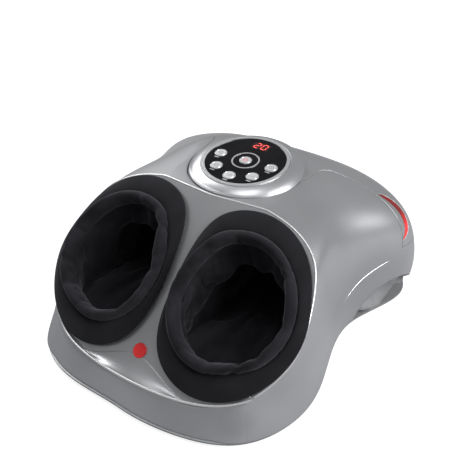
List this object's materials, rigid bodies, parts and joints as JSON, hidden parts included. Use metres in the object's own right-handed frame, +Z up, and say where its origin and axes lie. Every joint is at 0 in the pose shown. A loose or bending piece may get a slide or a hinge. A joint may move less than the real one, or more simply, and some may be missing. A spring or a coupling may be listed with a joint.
{
  "type": "foot massager",
  "caption": "Shiatsu foot massager with two padded foot openings in a sloping deck, geared kneading heads, air bags and a round touch panel on top.",
  "frame": {"origin": "on the floor under the middle of the bounding box", "axes": "+Z up, -Y towards the user (the side the feet go in from), +X to the user's right; the depth runs along Y"},
  "size_m": [0.406, 0.4715, 0.2185],
  "materials": {
    "silver_plastic": "satin silver paint on moulded ABS",
    "dark_plastic": "fine grain",
    "black_gloss": "polished",
    "chrome_trim": "bright",
    "red_lens": "translucent red",
    "rubber": "matt",
    "steel": "zinc plated",
    "circuit_board": "solder mask",
    "switch_plastic": "moulded",
    "key_plastic": "light grey, polished",
    "display_plastic": "dark red filter",
    "drive_plastic": "moulded",
    "hose_rubber": "translucent silicone",
    "black_fabric": "brushed knit",
    "bag_film": "coated fabric",
    "gear_plastic": "natural acetal",
    "motor_metal": "zinc plated",
    "heater_film": "foil"
  },
  "bodies": {
    "housing": {"accent_lens_left": "red_lens", "accent_lens_right": "red_lens", "air_bag_left": "bag_film", "air_bag_right": "bag_film", "air_hoses": "hose_rubber", "air_pump": "drive_plastic", "air_valves": "switch_plastic", "badge": "red_lens", "base_pan": "dark_plastic", "collar_frame_left": "dark_plastic", "collar_frame_right": "dark_plastic", "collar_pad_left": "black_fabric", "collar_pad_right": "black_fabric", "control_board": "circuit_board", "cuff_left": "black_fabric", "cuff_right": "black_fabric", "display": "display_plastic", "drive_guard_left": "drive_plastic", "drive_guard_right": "drive_plastic", "drive_tray_left": "drive_plastic", "drive_tray_right": "drive_plastic", "foot_liner_left": "black_fabric", "foot_liner_right": "black_fabric", "foot_tunnel_left": "dark_plastic", "foot_tunnel_right": "dark_plastic", "front_cover": "silver_plastic", "gear_motor_left": "motor_metal", "gear_motor_right": "motor_metal", "heating_pad_left": "heater_film", "heating_pad_right": "heater_film", "housing_screws": "steel", "key_switches": "switch_plastic", "mains_inlet": "dark_plastic", "panel_lens": "black_gloss", "panel_ring": "chrome_trim", "power_board": "circuit_board", "power_ring": "chrome_trim", "rear_cover": "silver_plastic", "rubber_feet": "rubber"},
    "power_key": {"key_power": "key_plastic"},
    "mode_key": {"key_mode": "key_plastic"},
    "heat_key": {"key_heat": "key_plastic"},
    "air_key": {"key_air": "key_plastic"},
    "strength_key": {"key_strength": "key_plastic"},
    "timer_key": {"key_timer": "key_plastic"},
    "heel_head_right": {"kneading_head_heel_right": "gear_plastic"},
    "arch_head_right": {"kneading_head_arch_right": "gear_plastic"},
    "toe_head_right": {"kneading_head_toe_right": "gear_plastic"},
    "pinion_right": {"drive_pinion_right": "gear_plastic"},
    "heel_head_left": {"kneading_head_heel_left": "gear_plastic"},
    "arch_head_left": {"kneading_head_arch_left": "gear_plastic"},
    "toe_head_left": {"kneading_head_toe_left": "gear_plastic"},
    "pinion_left": {"drive_pinion_left": "gear_plastic"}
  },
  "joints": [
    {"name": "power_press", "type": "slide", "parent": "housing", "child": "power_key", "axis": [0, 0.1045, -0.9945], "range_m": [0, 0.0008], "stiffness_N_per_m": 400},
    {"name": "mode_press", "type": "slide", "parent": "housing", "child": "mode_key", "axis": [0, 0.1045, -0.9945], "range_m": [0, 0.0008], "stiffness_N_per_m": 400},
    {"name": "heat_press", "type": "slide", "parent": "housing", "child": "heat_key", "axis": [0, 0.1045, -0.9945], "range_m": [0, 0.0008], "stiffness_N_per_m": 400},
    {"name": "air_press", "type": "slide", "parent": "housing", "child": "air_key", "axis": [0, 0.1045, -0.9945], "range_m": [0, 0.0008], "stiffness_N_per_m": 400},
    {"name": "strength_press", "type": "slide", "parent": "housing", "child": "strength_key", "axis": [0, 0.1045, -0.9945], "range_m": [0, 0.0008], "stiffness_N_per_m": 400},
    {"name": "timer_press", "type": "slide", "parent": "housing", "child": "timer_key", "axis": [0, 0.1045, -0.9945], "range_m": [0, 0.0008], "stiffness_N_per_m": 400},
    {"name": "heel_spin_right", "type": "hinge", "parent": "housing", "child": "heel_head_right", "pos_m": [0.085, -0.13, 0.02], "axis": [0, 0, 1], "continuous": true},
    {"name": "arch_spin_right", "type": "hinge", "parent": "housing", "child": "arch_head_right", "pos_m": [0.085, -0.064, 0.02], "axis": [0, 0, 1], "continuous": true},
    {"name": "toe_spin_right", "type": "hinge", "parent": "housing", "child": "toe_head_right", "pos_m": [0.085, 0.002, 0.02], "axis": [0, 0, 1], "continuous": true},
    {"name": "pinion_spin_right", "type": "hinge", "parent": "housing", "child": "pinion_right", "pos_m": [0.085, 0.0482, 0.02], "axis": [0, 0, 1], "continuous": true},
    {"name": "heel_spin_left", "type": "hinge", "parent": "housing", "child": "heel_head_left", "pos_m": [-0.085, -0.13, 0.02], "axis": [0, 0, 1], "continuous": true},
    {"name": "arch_spin_left", "type": "hinge", "parent": "housing", "child": "arch_head_left", "pos_m": [-0.085, -0.064, 0.02], "axis": [0, 0, 1], "continuous": true},
    {"name": "toe_spin_left", "type": "hinge", "parent": "housing", "child": "toe_head_left", "pos_m": [-0.085, 0.002, 0.02], "axis": [0, 0, 1], "continuous": true},
    {"name": "pinion_spin_left", "type": "hinge", "parent": "housing", "child": "pinion_left", "pos_m": [-0.085, 0.0482, 0.02], "axis": [0, 0, 1], "continuous": true}
  ],
  "couplings": [
    {"joint": "heel_spin_right", "follows": "arch_spin_right", "ratio": -1},
    {"joint": "toe_spin_right", "follows": "arch_spin_right", "ratio": -1},
    {"joint": "pinion_spin_right", "follows": "arch_spin_right", "ratio": 2.5},
    {"joint": "heel_spin_left", "follows": "arch_spin_left", "ratio": -1},
    {"joint": "toe_spin_left", "follows": "arch_spin_left", "ratio": -1},
    {"joint": "pinion_spin_left", "follows": "arch_spin_left", "ratio": 2.5}
  ]
}
